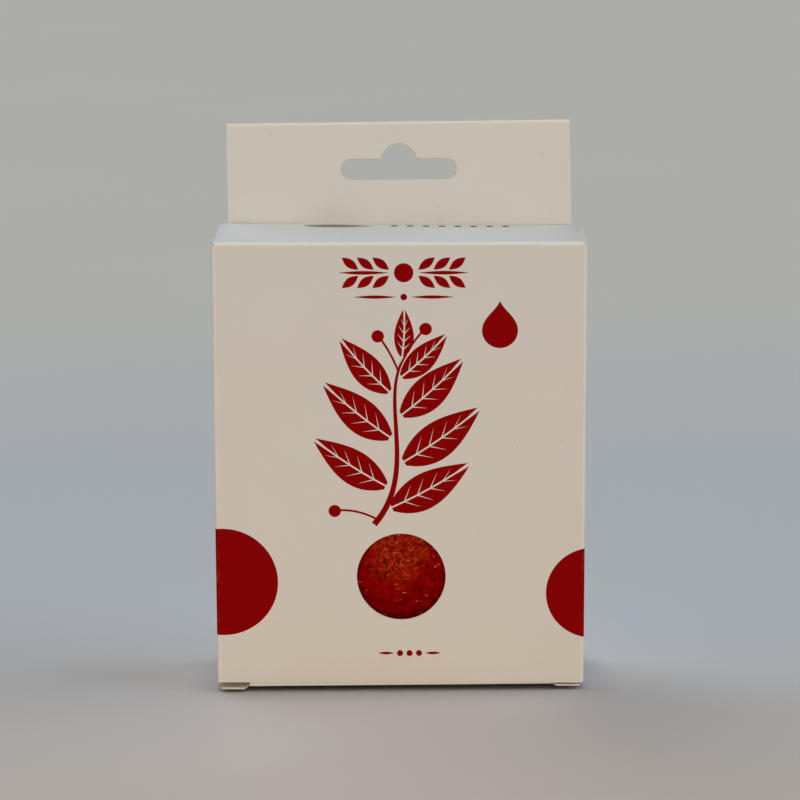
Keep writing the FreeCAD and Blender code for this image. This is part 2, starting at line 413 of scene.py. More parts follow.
def add_piece(name, places, faces, materials):
    """A new piece of the scene, from points in millimetres."""
    mesh = bpy.data.meshes.new(name)
    mesh.from_pydata(np.array(places) / METRE, [], faces)
    for material in materials:
        mesh.materials.append(material)
    piece = bpy.data.objects.new(name, mesh)
    bpy.context.scene.collection.objects.link(piece)
    return piece


def finish_mesh(mesh, layer_name, values):
    """Smooth shading, and a value at each point for the material to read."""
    mesh.polygons.foreach_set("use_smooth", [True] * len(mesh.polygons))
    layer = mesh.attributes.new(layer_name, "FLOAT", "POINT")
    layer.data.foreach_set("value", values.astype(np.float32))
    mesh.update()


def sheet(name, outline, surface, holes=(), inks=(), lines=(), points=(), crease=None, ink=red_slot):
    """A piece of board cut to a flat outline, printed, and bent to a surface.

    surface(u, v) gives points on its outer face and their outward normals.
    """
    flat, triangles, inked = flat_mesh(outline, holes, inks, lines, points)
    outer, normals = surface(flat[:, 0], flat[:, 1])
    inner = outer - normals * board
    a, b, c = (outer[corner] for corner in triangles[0])
    if np.dot(np.cross(b - a, c - a), normals[triangles[0][0]]) < 0:
        triangles = [face[::-1] for face in triangles]
    count = len(flat)
    rim = rim_edges(triangles)
    faces = triangles + [[corner + count for corner in face[::-1]] for face in triangles]
    faces += [[end, start, start + count, end + count] for start, end in rim]
    slots = [ink if printed else coated_slot for printed in inked]
    slots += [bare_slot] * len(triangles) + [cut_slot] * len(rim)
    piece = add_piece(name, np.concatenate([outer, inner]), faces, board_materials)
    piece.data.polygons.foreach_set("material_index", slots)
    crease_mark = crease(flat[:, 0], flat[:, 1]) if crease else np.zeros(count)
    finish_mesh(piece.data, "crease", np.concatenate([crease_mark, crease_mark]))
    piece.data.set_sharp_from_angle(angle=math.radians(sharp_angle))
    return piece


class Nodes:
    """A node material with one Principled shader and short ways to add nodes to it."""

    def __init__(self, name, roughness, specular):
        self.material = bpy.data.materials.new(name)
        self.material.use_nodes = True
        self.tree = self.material.node_tree
        self.shader = self.tree.nodes["Principled BSDF"]
        self.feed(self.shader, {"Roughness": roughness, "Specular IOR Level": specular})
        self.place = self.add("TexCoord", {}).outputs["Object"]

    def feed(self, node, values):
        """Gives inputs of a node a link, a colour or another value each."""
        for key, value in values.items():
            target = node.inputs[key]
            if isinstance(value, bpy.types.NodeSocket):
                self.tree.links.new(value, target)
            elif target.type == "RGBA":
                target.default_value = (*value, 1.0)
            else:
                target.default_value = value

    def add(self, kind, values, **settings):
        """A new node, with values for its inputs."""
        node = self.tree.nodes.new("ShaderNode" + kind)
        for key, value in settings.items():
            setattr(node, key, value)
        self.feed(node, values)
        return node

    def noise(self, scale, detail=3, stretch=None):
        """Soft noise, with its scale in waves per metre, and with its axes scaled if stretched."""
        place = self.place
        if stretch:
            place = self.add("Mapping", {"Vector": place, "Scale": stretch}).outputs["Vector"]
        return self.add("TexNoise", {"Vector": place, "Scale": scale, "Detail": detail}).outputs["Fac"]

    def warped(self, scale, reach):
        """The place on the piece, shifted unevenly by up to about a reach in millimetres."""
        noise = self.add("TexNoise", {"Vector": self.place, "Scale": scale}).outputs["Color"]
        values = {0: noise, 1: Vector((reach, reach, reach)) / METRE, 2: self.place}
        return self.add("VectorMath", values, operation="MULTIPLY_ADD").outputs["Vector"]

    def cell_walls(self, scale, place):
        """Distance to the nearest wall between uneven cells, with their scale in cells per metre."""
        values = {"Vector": place, "Scale": scale}
        return self.add("TexVoronoi", values, feature="DISTANCE_TO_EDGE").outputs["Distance"]

    def axis(self, name):
        """Place along one axis, in metres."""
        return self.add("SeparateXYZ", {"Vector": self.place}).outputs[name]

    def distance(self, point):
        """Distance from a point given in millimetres, in metres."""
        values = {0: self.place, 1: Vector(point) / METRE}
        return self.add("VectorMath", values, operation="DISTANCE").outputs["Value"]

    def attribute(self, name):
        """A value that the mesh carries at its points."""
        return self.add("Attribute", {}, attribute_name=name).outputs["Fac"]

    def ramp(self, source, *stops):
        """Colours or greys by place: stops are (place, colour)."""
        node = self.add("ValToRGB", {"Fac": source})
        elements = node.color_ramp.elements
        while len(elements) < len(stops):
            elements.new(0.5)
        for element, (place, colour) in zip(elements, stops):
            element.position = place
            element.color = (*colour, 1.0) if isinstance(colour, tuple) else (colour, colour, colour, 1.0)
        return node.outputs["Color"]

    def span(self, source, start, end, first=0.0, last=1.0):
        """A value that goes from first to last while the source goes from start to end."""
        values = {"Value": source, "From Min": start, "From Max": end, "To Min": first, "To Max": last}
        return self.add("MapRange", values).outputs["Result"]

    def mix(self, share, first, second, blend="MIX"):
        """Mix of two colours. Blender's Mix node has its colours at inputs 6 and 7 and output 2."""
        values = {0: share, 6: first, 7: second}
        return self.add("Mix", values, data_type="RGBA", blend_type=blend).outputs[2]

    def multiplied(self, first, second):
        """Product of two colours."""
        return self.mix(1.0, first, second, "MULTIPLY")

    def calculated(self, operation, first, second):
        return self.add("Math", {0: first, 1: second}, operation=operation).outputs[0]

    def sum(self, first, second):
        return self.calculated("ADD", first, second)

    def times(self, first, second):
        return self.calculated("MULTIPLY", first, second)

    def bump(self, height, strength, distance):
        """Small relief, with its distance in millimetres."""
        values = {"Height": height, "Strength": strength, "Distance": distance / METRE}
        self.feed(self.shader, {"Normal": self.add("Bump", values).outputs["Normal"]})

    def colour(self, source):
        """The finished material, with its colour."""
        self.feed(self.shader, {"Base Color": source})
        return self.material


# Colours of the board, its coating and its inks
coat_white = (0.876, 0.871, 0.876)
coat_shade = (0.844, 0.836, 0.834)
coat_speck = (0.33, 0.28, 0.22)
# worn fibre on the creases, which also serves as a painted highlight of the bends
worn_fibre_and_highlight = (0.96, 0.945, 0.92)
painted_foot_light = (0.97, 0.945, 0.905)      # painted light: the coating is tinted warmer toward the foot and cooler at the lid and the tab's top
painted_lid_light = (0.92, 0.95, 0.985)
painted_head_light = (0.95, 0.985, 1.0)
bare_cream = (0.74, 0.69, 0.58)
bare_dark = (0.66, 0.60, 0.49)
cut_pale = (0.86, 0.82, 0.72)
ink_red = (0.325, 0.0006, 0.0012)
ink_dark = (0.275, 0.0004, 0.0008)
ink_grey = (0.17, 0.14, 0.10)
ink_black = (0.12, 0.10, 0.07)
ink_crack = (0.55, 0.3, 0.28)


def coated_face():
    """Matt coated board: slow mottling, painted light by height, a fine grain, rare specks, and paler
    creases that are worn fibre and a painted highlight.
    """
    m = Nodes("coated_face", roughness=0.58, specular=0.28)
    mottled = m.mix(m.noise(scale=55, detail=2), coat_shade, coat_white)
    # painted light: the colour is tinted by height, warmer toward the foot and cooler at the lid and the
    # tab's top
    height = m.span(m.axis("Z"), 0, tab_top / METRE)
    painted_light_tint = m.ramp(height, (0.0, painted_foot_light), (lid_top / tab_top, painted_lid_light), (1.0, painted_head_light))
    grain = m.ramp(m.noise(scale=2600, detail=4), (0.3, 0.965), (0.7, 1.0))
    colour = m.multiplied(m.multiplied(mottled, painted_light_tint), grain)
    specks = m.ramp(m.noise(scale=520, detail=1), (0.80, 0.0), (0.84, 0.55))
    colour = m.mix(specks, colour, coat_speck)
    # paler creases: worn fibre and a painted highlight along the bends
    uneven = m.ramp(m.noise(scale=900, detail=4), (0.3, 0.45), (0.7, 0.85))
    colour = m.mix(m.times(m.attribute("crease"), uneven), colour, worn_fibre_and_highlight)
    m.bump(m.noise(scale=3800, detail=5), strength=0.25, distance=0.03)
    return m.colour(colour)


def ink_face(name, main, dark):
    """Solid ink on coated board, a little uneven, cracked where it runs over a crease."""
    m = Nodes(name, roughness=0.6, specular=0.02)
    colour = m.mix(m.noise(scale=240, detail=4), dark, main)
    cracks = m.ramp(m.noise(scale=1500, detail=5, stretch=(1.0, 1.0, 0.25)), (0.58, 0.0), (0.7, 0.3))
    colour = m.mix(m.times(m.attribute("crease"), cracks), colour, ink_crack)
    m.bump(m.noise(scale=3800, detail=5), strength=0.2, distance=0.03)
    return m.colour(colour)


def bare_face():
    """Uncoated inside of the board, with short fibres."""
    m = Nodes("bare_face", roughness=0.85, specular=0.2)
    fibres = m.noise(scale=900, detail=6, stretch=(0.35, 1.0, 1.0))
    m.bump(fibres, strength=0.4, distance=0.06)
    return m.colour(m.mix(m.ramp(fibres, (0.35, 0.0), (0.68, 1.0)), bare_dark, bare_cream))


def cut_edge():
    """Die-cut edge, with the layers of the board."""
    m = Nodes("cut_edge", roughness=0.9, specular=0.15)
    layers = m.noise(scale=3000, detail=4)
    m.bump(layers, strength=0.4, distance=0.05)
    return m.colour(m.mix(layers, bare_cream, cut_pale))


red_ink = ink_face("red_ink", ink_red, ink_dark)
grey_ink = ink_face("grey_ink", ink_grey, ink_black)
board_materials = [coated_face(), red_ink, bare_face(), cut_edge(), grey_ink]

# Walls of the carton, wrapped in one sheet from the seam flap round to the back panel's free edge
wall_path = Path(
    (seam_edge, seam_face),
    180,
    run(seam_edge - left - fold_radius),
    bend(90),
    run(seam_face - front - 2 * fold_radius),
    bend(90),
    run(2 * front_flat),
    bend(90),
    run(back - front - 2 * fold_radius),
    bend(90),
    run(front_flat - back_edge),
)
seam_bend, left_bend, right_bend, back_bend = wall_path.bends
left_corner, right_corner, back_corner = (sum(ends) / 2 for ends in wall_path.bends[1:])
wall_flats = (      # start and end of each flat wall along the path, and its bulge
    (seam_bend[1], left_bend[0], side_bulge),
    (left_bend[1], right_bend[0], front_bulge),
    (right_bend[1], back_bend[0], side_bulge),
    (back_bend[1], wall_path.length, back_bulge),
)


# Distances along the walls' path of places across the front and back and along the sides
def front_u(x):
    return left_bend[1] + front_flat + x


def back_u(x):
    return back_bend[1] + front_flat - x


def left_u(y):
    return left_bend[0] - (y - front - fold_radius)


def right_u(y):
    return right_bend[1] + (y - front - fold_radius)


def wall_surface(u, v):
    """Walls that bulge a little, and the bow of the front's lower edge."""
    section, normal = wall_path.at(u)
    normals = np.column_stack([normal, np.zeros(len(u))])
    points = np.column_stack([section, v])
    rise = hump(v, side_low, side_high)
    for start, end, bulge in wall_flats:
        points += normals * (bulge * hump(u, start, end) * rise)[:, None]
    bow = front_edge_bow * hump(u, left_bend[1], right_bend[0]) * np.exp(-v / front_bow_fade)
    return points + normals * bow[:, None], normals


def notch(start, end, edge, floor):
    """Corners of a shallow notch in a wall's edge, which a crease strip fills."""
    return [(start, edge), (start, floor), (end, floor), (end, edge)]


def wall_outline():
    """Outline of the walls laid flat, from the seam flap's foot on round."""
    side_top = side_high - crease_margin
    side_foot = side_low + crease_margin
    front_top = lid_top - fold_radius
    back_foot = fold_radius + crease_margin
    tilt = front_edge_tilt * right
    top_near, top_far = (side("top_left_dust_flap", "y") for side in (low, high))
    foot_near, foot_far = (side("bottom_left_dust_flap", "y") for side in (low, high))
    return [
        (0, side_low + seam_taper),
        (seam_bend[0], side_low),
        *notch(left_u(foot_far), left_u(foot_near), side_low, side_foot),
        (left_corner, side_low),
        (left_corner, front_edge_lift + tilt),
        (right_corner, front_edge_lift - tilt),
        (right_corner, side_low),
        *notch(right_u(foot_near), right_u(foot_far), side_low, side_foot),
        (back_corner, side_low),
        (back_corner, back_foot),
        (back_u(-closure_half), back_foot),
        (wall_path.length, back_foot),
        (wall_path.length, tab_fold),
        *notch(back_u(-tab_half), back_u(tab_half), tab_fold, tab_fold - tab_margin),
        (back_corner, tab_fold),
        (back_corner, side_high),
        *notch(right_u(top_far), right_u(top_near), side_high, side_top),
        (right_corner, side_high),
        (right_corner, front_top),
        *notch(front_u(closure_half), front_u(-closure_half), front_top, front_top - crease_margin),
        (left_corner, front_top),
        (left_corner, side_high),
        *notch(left_u(top_near), left_u(top_far), side_high, side_top),
        (seam_bend[0], side_high),
        (0, side_high - seam_taper),
    ]


def make_walls():
    """Front, sides, back and seam flap, with the window and the print."""
    points = []
    for start, end, _ in wall_flats:
        points += grid((start + guard, side_low), (end - guard, side_high))
    window = disc(window_centre, window_radius, steps=96)
    walls = sheet(
        "carton_walls",
        wall_outline(),
        wall_surface,
        holes=[[(front_u(x), z) for x, z in window]],
        inks=[[(front_u(x), z) for x, z in loop] for loop in front_print()],
        lines=[((u, -overrun), (u, lid_top + overrun)) for u in wall_path.bend_lines()],
        points=points,
        crease=lambda u, v: upright_crease_mark * wall_path.crease(u),
    )
    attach(walls, "carton")
    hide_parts("front_panel", "left_side_panel", "right_side_panel", "back_panel", "seam_flap")


def drop():
    """A plain drop: a round foot, drawn up to a point."""
    x, tip = drop_tip
    widest = drop_foot + drop_radius
    waist = widest + drop_waist_share * drop_radius
    neck = tip - drop_neck_share * drop_radius
    point = drop_point_share * drop_radius
    right_side = ((x + drop_radius, widest), (x + drop_radius, waist), (x + point, neck), drop_tip)
    left_side = (drop_tip, (x - point, neck), (x - drop_radius, waist), (x - drop_radius, widest))
    outline = arc((x, widest), drop_radius, 180, 360, steps=28)[:-1]
    return outline + curve_points(right_side, steps=16) + curve_points(left_side, steps=16)


def leaf(base, heading, length, width, veins=5, bow_share=0.0, edge_steps=16):
    """Two halves of a pointed leaf, with a bare midrib between them and bare side veins."""
    along = heading_way(heading)
    across = heading_way(heading + 90)

    def half_width(share):
        return width / 2 * math.sin(math.pi * share**leaf_fullness)

    def place(share, offset):
        bow = bow_share * length * share * share
        return tuple(np.array(base) + along * length * share + across * (offset + bow))

    start, end = leaf_ends
    notch_half = vein_gap / length
    halves = []
    for side in (1, -1):
        rib = side * vein_gap
        loop = [place(start, rib)]
        for share in np.linspace(start, end, veins + 2)[1:-1]:
            reach = share + vein_slant_share
            vein_end = side * vein_reach_share * half_width(min(reach, end))
            loop += [place(share - notch_half, rib), place(reach, vein_end), place(share + notch_half, rib)]
        for share in np.linspace(end, start, edge_steps + 1):
            loop.append(place(share, side * half_width(share)))
        halves.append(loop)
    return halves


def tapered_stem(handles, widths):
    """A curved stem from four handles, with its widths at its start and its end."""
    middle_line = np.array(curve_points(handles, steps=28) + [handles[3]])
    heading = np.gradient(middle_line, axis=0)
    heading /= np.linalg.norm(heading, axis=1)[:, None]
    side = np.column_stack([-heading[:, 1], heading[:, 0]])
    half = np.linspace(*widths, len(middle_line))[:, None] / 2
    edges = np.concatenate([middle_line + side * half, (middle_line - side * half)[::-1]])
    return [tuple(point) for point in edges]


def sprig():
    """A leafy twig with round buds, in the middle of the front."""
    shapes = [tapered_stem(twig, twig_widths)]
    for share, heading, length in twig_leaves:
        base = curve_point(twig, share) + leaf_gap * heading_way(heading)
        bow = leaf_bow_share if heading < 90 else -leaf_bow_share
        shapes += leaf(base, heading, length, leaf_width_share * length, bow_share=bow)
    near = bud_handle_share
    far = 1 - near
    for share, heading, length in twig_buds:
        root = curve_point(twig, share)
        bud = root + length * heading_way(heading)
        bow = length * bud_bow_share * heading_way(90)
        stalk = (root, root * far + bud * near + bow, root * near + bud * far + bow, bud)
        shapes.append(tapered_stem(stalk, (bud_stalk_width, bud_stalk_width)))
        shapes.append(disc(bud, bud_radius, steps=28))
    return shapes


def lens(start, end, width, steps=14):
    """A thin shape drawn to a point at both ends."""
    start, end = np.array(start), np.array(end)
    along = end - start
    across = np.array([-along[1], along[0]]) / np.linalg.norm(along)
    shares = np.linspace(0, 1, steps + 1)
    outline = []
    for side, places in ((1, shares), (-1, shares[-2:0:-1])):
        for share in places:
            offset = side * across * width / 2 * math.sin(math.pi * share)
            outline.append(tuple(start + along * share + offset))
    return outline


def garland():
    """A level row of small leaves on both sides of a disc, with a thin rule below, above the twig."""
    x, z = garland_centre
    rule_z = z - garland_rule_drop
    inner, outer = garland_rule_insets
    shapes = [disc(garland_centre, garland_disc_radius, steps=40)]
    for side in (1, -1):
        start = x + side * (garland_disc_radius + garland_disc_gap)
        end = x + side * garland_half
        shapes.append(lens((start, z), (end, z), garland_stem_width))
        for root in np.linspace(start, end - side * garland_end_gap, garland_leaf_pairs):
            for up in (1, -1):
                foot = np.array([root, z + garland_leaf_gap * up])
                way = np.array([side, up]) * garland_leaf_way
                shapes.append(lens(foot, foot + garland_leaf * way, garland_leaf_width))
        shapes.append(lens((x + side * inner, rule_z), (end - side * outer, rule_z), garland_rule_width))
    shapes.append(disc((x, rule_z), garland_dot_radius, steps=20))
    return shapes


def small_rule():
    """Three dots between two thin rules, under the window."""
    x, z = small_rule_centre
    inner, outer = small_rule_ends
    shapes = [disc((x + step * small_dot_step, z), small_dot_radius, steps=24) for step in (-1, 0, 1)]
    for side in (1, -1):
        shapes.append(lens((x + side * inner, z), (x + side * outer, z), small_rule_width))
    return shapes


def front_print():
    """Closed red shapes on the front panel, as points across it and above the table."""
    shapes = [disc(left_disc_centre, left_disc_radius), disc(right_disc_centre, right_disc_radius), drop()]
    return shapes + sprig() + garland() + small_rule()


def lid_print():
    """A grey leaf and a row of dots near the lid's rear edge, as points across and along it."""
    x, inset = lid_leaf_base
    shapes = leaf((x, lid_reach - inset), 0, lid_leaf_length, lid_leaf_width, lid_leaf_veins)
    for x in np.linspace(*lid_dot_ends, lid_dot_count):
        shapes.append(disc((x, lid_reach - lid_dot_inset), lid_dot_radius, steps=24))
    return shapes


def section_surface(path, across, shift=None):
    """Surface of a bent strip: its section lies in the plane across one axis."""
    column = "xyz".index(across)

    def surface(u, v):
        section, normal = path.at(v)
        points = np.insert(section, column, u, axis=1)
        if shift:
            points[:, 2] += shift(u)
        return points, np.insert(normal, column, 0.0, axis=1)

    return surface


def crease_strip(name, path, across, ends, first_body, second_body, shift=None):
    """Bent strip of board at a crease, between the two panels that it joins.

    The path runs from the first body's panel to the second body's; first_body and second_body are not used.
    """
    start, end = ends
    outline = [(start, 0), (end, 0), (end, path.length), (start, path.length)]
    lines = []
    for distance in path.bend_lines():
        if 0 < distance < path.length:
            lines.append(((start, distance), (end, distance)))
    count = max(2, round((end - start) / mesh_step))
    lines += [((u, 0), (u, path.length)) for u in np.linspace(start, end, count + 1)[1:-1]]
    surface = section_surface(path, across, shift)
    strip = sheet(name, outline, surface, lines=lines, crease=lambda u, v: path.crease(v))
    middle_u = np.full(2, (start + end) / 2)
    outer, normals = surface(middle_u, np.array([0, path.length]))
    chord = outer[1] - outer[0]
    chord /= np.linalg.norm(chord)
    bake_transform(strip)


def flat_bulge(x, along, reach, most):
    """Bulge of a lid or base between its creases and its ends."""
    return most * hump(along, fold_radius, reach - fold_radius) * hump(x, -closure_half, closure_half)


def lid_shift(x, along):
    """How far the lid stands off its flat place: its rear edge is higher at the left."""
    rear = np.maximum(lid_rise - lid_tilt * x, lid_least_rise)
    return rear * np.clip(along / lid_reach, 0, 1)


def lid_surface(x, along):
    points = np.column_stack([x, front + along, np.full(len(x), lid_top)])
    points[:, 2] += lid_shift(x, along) + flat_bulge(x, along, lid_reach, lid_bulge)
    return points, np.tile((0.0, 0.0, 1.0), (len(x), 1))


def base_rise(x, along):
    """How far the bottom panel stands off its flat place toward its tuck crease, and its ears' droop."""
    far = base_reach - fold_radius - crease_margin
    rise = (base_lift + base_tilt * x) * np.clip(along / far, 0, 1) ** base_rise_power
    rise *= np.clip((closure_half - np.abs(x)) / slit_length, 0, 1)
    droop = np.clip((along - far) / (back - front - far), 0, 1)
    ear_foot = np.where(x < 0, -left_ear_droop, -right_ear_droop)
    return np.where(np.abs(x) > ear_start, rise + (ear_foot - rise) * droop, rise)


def base_surface(x, along):
    points = np.column_stack([x, back - along, np.zeros(len(x))])
    points[:, 2] += base_rise(x, along) + flat_bulge(x, along, base_reach, base_bulge)
    return points, np.tile((0.0, 0.0, -1.0), (len(x), 1))


def closure_outline(reach, ears, corner_steps=10):
    """Lid or base between its creases, with a slit ear at each end of the tuck crease.

    Each ear is its reach, the size of its oval outer corner and the slant of its inner end.
    """
    near = fold_radius + crease_margin
    far = reach - fold_radius - crease_margin
    outline = [(-closure_half, near), (closure_half, near)]
    for side, (ear_reach, (wide, long), slant) in zip((1, -1), ears):
        ear = [
            (side * (closure_half - wide * (1 - math.cos(t))), ear_reach - long * (1 - math.sin(t)))
            for t in np.linspace(0, math.pi / 2, corner_steps + 1)
        ]
        ear += [(side * (ear_start + slant), ear_reach), (side * ear_start, far)]
        outline += ear if side > 0 else ear[::-1]
    return outline


def make_closure(name, node, hinge, along, surface, reach, ears, inks=()):
    """Lid or bottom panel, with its crease to the carton.

    In section it runs along +Y (1) or -Y (-1) from the corner at its hinge.
    """
    points = grid((-closure_half, fold_radius), (closure_half, reach - fold_radius), closure_step)
    outline = closure_outline(reach, ears)
    panel = sheet(name + "_board", outline, surface, inks=inks, points=points, ink=grey_slot)
    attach(panel, name)
    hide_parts(node)
    start = (hinge[0] + along * (fold_radius + crease_margin), hinge[1])
    path = crease_path(start, 90 + 90 * along)
    crease_strip(name + "_crease", path, "x", (-closure_half, closure_half), name, "carton")


def make_tuck(name, node, panel, hinge, along, reach, radius, shift):
    """Tuck flap of a lid or bottom panel, with shoulders under the slit ears, and its crease."""
    lean = math.radians(tuck_lean)
    outward = along * np.array([math.cos(lean), -math.sin(lean)])
    down = -along * np.array([math.sin(lean), math.cos(lean)])
    start = np.array(hinge) + along * np.array([reach - radius, -radius]) + outward * radius
    path = crease_path(start + down * crease_margin, 180 - 90 * along - tuck_lean, 90 + tuck_lean, radius)
    crease_strip(name + "_crease", path, "x", (-ear_start, ear_start), name, panel, shift)
    half = closure_half - tuck_side_inset
    outline = rounded(
        [
            (-ear_start, crease_margin, 0),
            (ear_start, crease_margin, 0),
            (ear_start, tuck_shoulder_drop, 0),
            (half, tuck_shoulder_drop, 0),
            (half, tuck_run, tuck_corner_radius),
            (-half, tuck_run, tuck_corner_radius),
            (-half, tuck_shoulder_drop, 0),
            (-ear_start, tuck_shoulder_drop, 0),
        ]
    )

    def surface(x, drop_down):
        points = np.column_stack([x, start + np.outer(drop_down, down)])
        points[:, 2] += shift(x)
        return points, np.tile((0.0, *outward), (len(x), 1))

    flap = sheet(name + "_board", outline, surface, points=grid((-half, 0), (half, tuck_run)))
    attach(flap, name)
    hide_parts(node)


def make_top():
    """Lid and its tuck flap."""
    hinge = (front, lid_top)
    ears = ((lid_reach, lid_right_corner, 0), (lid_reach, lid_left_corner, 0))

    def shift(x):
        return lid_shift(x, np.full(len(x), lid_reach - fold_radius))

    make_closure("lid", "top_panel", hinge, 1, lid_surface, lid_reach, ears, lid_print())
    make_tuck("lid_tuck", "top_tuck_flap", "lid", hinge, 1, lid_reach, fold_radius, shift)


def make_bottom():
    """Bottom panel and its tuck flap."""
    hinge = (back, 0)
    depth = back - front
    ears = ((depth, ear_corner, ear_slant), (depth + left_ear_extra, ear_corner, ear_slant))

    def shift(x):
        return base_lift + base_tilt * x

    make_closure("base", "bottom_panel", hinge, -1, base_surface, base_reach, ears)
    make_tuck("base_tuck", "bottom_tuck_flap", "base", hinge, -1, base_reach, base_fold_radius, shift)


def make_dust_flap(level, side):
    """Dust flap under the lid or over the base, with its crease to a side wall."""
    name = f"{'upper' if level == 'top' else 'lower'}_{side}_flap"
    node = f"{level}_{side}_dust_flap"
    sign = 1 if side == "right" else -1
    up = 1 if level == "top" else -1
    face = high(node, "z") if up > 0 else low(node, "z")
    near_y, far_y = low(node, "y"), high(node, "y")
    root = right - fold_radius - crease_margin
    tip = low(node, "x") if sign > 0 else -high(node, "x")
    hinge_y, tuck_y = (near_y, far_y) if up > 0 else (far_y, near_y)
    slope = flap_taper_share * up
    outline = rounded(
        [
            (sign * root, hinge_y + slope * (right - root), 0),
            (sign * tip, hinge_y + slope * (right - tip), flap_corner_radius),
            (sign * tip, tuck_y, flap_corner_radius),
            (sign * root, tuck_y, 0),
        ]
    )

    def surface(x, y):
        points = np.column_stack([x, y, np.full(len(x), face)])
        if up < 0:
            inset = np.clip((root - np.abs(x)) / flap_settle, 0, 1)
            points[:, 2] += base_rise(x, back - y) * inset
        return points, np.tile((0.0, 0.0, float(up)), (len(x), 1))

    low_x, high_x = sorted((sign * root, sign * tip))
    lines = []
    for x in np.linspace(low_x, high_x, flap_lines + 2)[1:-1]:
        lines.append(((x, near_y - overrun), (x, far_y + overrun)))
    points = grid((low_x, near_y), (high_x, far_y))
    flap = sheet(name + "_board", outline, surface, lines=lines, points=points)
    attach(flap, name)
    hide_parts(node)
    flap_first = sign * up < 0
    flap_point = (sign * root, face)
    wall_point = (sign * right, face - up * (fold_radius + crease_margin))
    path = crease_path(flap_point if flap_first else wall_point, flap_headings[level][side])
    bodies = (name, "carton") if flap_first else ("carton", name)
    crease_strip(name + "_crease", path, "y", (near_y, far_y), *bodies)


def slot_outline(middle_x, middle_z):
    """Hanging slot: a long round-ended slot with a round bump above it and soft corners between."""
    end_reach = slot_half_length - slot_half_height
    fillet_z = slot_half_height + bump_fillet
    fillet_x = math.sqrt((bump_radius + bump_fillet) ** 2 - (fillet_z - bump_rise) ** 2)
    lean = math.degrees(math.atan2(fillet_z - bump_rise, fillet_x))
    outline = arc((end_reach, 0), slot_half_height, -90, 90, steps=16)
    outline += arc((fillet_x, fillet_z), bump_fillet, 270, 180 + lean, steps=6)
    outline += arc((0.0, bump_rise), bump_radius, lean, 180 - lean, steps=24)[1:-1]
    outline += arc((-fillet_x, fillet_z), bump_fillet, -lean, -90, steps=6)
    outline += arc((-end_reach, 0), slot_half_height, 90, 270, steps=16)
    return [(middle_x + x, middle_z + z) for x, z in outline]


def make_tab():
    """Hanging tab: one sheet, up the rear, over the top fold and down the front, and its crease."""
    foot = tab_fold + tab_margin
    fold_height = tab_top - tab_fold_radius
    over_top = bend(180, tab_fold_radius)
    path = Path((back, foot), 90, run(fold_height - foot), over_top, run(fold_height - tab_front_foot))
    fold_start, fold_end = path.bends[0]

    def surface(x, along):
        section, normal = path.at(along)
        share = np.clip((section[:, 1] - foot) / (tab_top - foot), 0, 1)
        points = np.column_stack([x + share * (tab_shift + tab_growth * x), section])
        points[:, 2] += share * (tab_lift + tab_tilt * x)
        points[:, 1] -= tab_bulge * hump(section[:, 1], foot, tab_top)
        return points, np.column_stack([np.zeros(len(x)), normal])

    rear_slot = [(x, z - foot) for x, z in slot_outline(-ply_shift, slot_centre - ply_shift)]
    front_slot = [(x, fold_end + fold_height - z) for x, z in slot_outline(0, slot_centre)]
    points = grid((-tab_half, 0), (tab_half, fold_start))
    points += grid((-tab_half, fold_end), (tab_half, path.length))
    tab = sheet(
        "hang_tab_board",
        [(-tab_half, 0), (tab_half, 0), (tab_half, path.length), (-tab_half, path.length)],
        surface,
        holes=[rear_slot, front_slot],
        lines=[((-tab_half - overrun, v), (tab_half + overrun, v)) for v in path.bend_lines()],
        points=points,
        crease=lambda u, v: path.crease(v),
    )
    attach(tab, "hang_tab")
    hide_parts("hang_tab_rear_ply", "hang_tab_front_ply")
    hinge = Path((back, tab_fold - tab_margin), 90, run(2 * tab_margin))
    crease_strip("hang_tab_crease", hinge, "x", (-tab_half, tab_half), "carton", "hang_tab")


make_walls()
make_top()
make_bottom()
for level in ("top", "bottom"):
    for side in ("left", "right"):
        make_dust_flap(level, side)
make_tab()

glue_dull = (0.80, 0.77, 0.66)
glue_pale = (0.88, 0.86, 0.78)


def glue():
    """Dried glue, pale and slightly glossy."""
    m = Nodes("dry_glue", roughness=0.35, specular=0.5)
    return m.colour(m.mix(m.noise(scale=700), glue_dull, glue_pale))


glue_material = glue()
for node in ("seam_glue", "hang_tab_glue"):
    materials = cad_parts[node].data.materials
    materials.clear()
    materials.append(glue_material)

# Sponge
sponge_rim_depth = 7.0
sponge_back_radius = 5.0
sponge_shoulder_share = 0.6     # radius of the dome's shoulder, of the dome's height
sponge_cells = 124              # of the mesh, along each side of a cube that is blown up to a ball
sponge_crowding = 0.45          # how much finer the mesh is on the dome than on the back
pore_layers = ((1.9, 0.45, 0.22), (1.1, 0.32, 0.6), (0.75, 0.2, 0.8))   # size, depth and share of cells
pore_reach = 0.3                # least radius of a pore, in cells, and what chance adds to it
pore_extra_reach = 0.35
pore_steepness = 1.25           # above 1, a pore has a flat floor
layer_salt = 10
lump_salt = 91
lump_size = 14.0
lump_height = 0.35
foam_deep = (0.24, 0.0008, 0.0008)
foam_bright = (0.36, 0.0016, 0.0012)
# painted shade in the pores
foam_pore_shade = (0.085, 0.0006, 0.0005)
foam_glint = (0.76, 0.26, 0.06)
# pale colours of the patches of dust and painted light
dust_and_light_dull = (0.34, 0.012, 0.003)
dust_and_light_pale = (0.54, 0.088, 0.018)
dust_and_light_centre = (-0.5, 37.0)      # middle of the main pale patch on the dome, partly dust and partly painted light where the dome is lit, across and up
dust_and_light_radius = 9.0
dust_and_light_edge = 5.0
dust_and_light_unevenness = 9.0
far_dust_start = 14.0           # from that patch's middle to where other patches begin
far_dust_full = 22.0


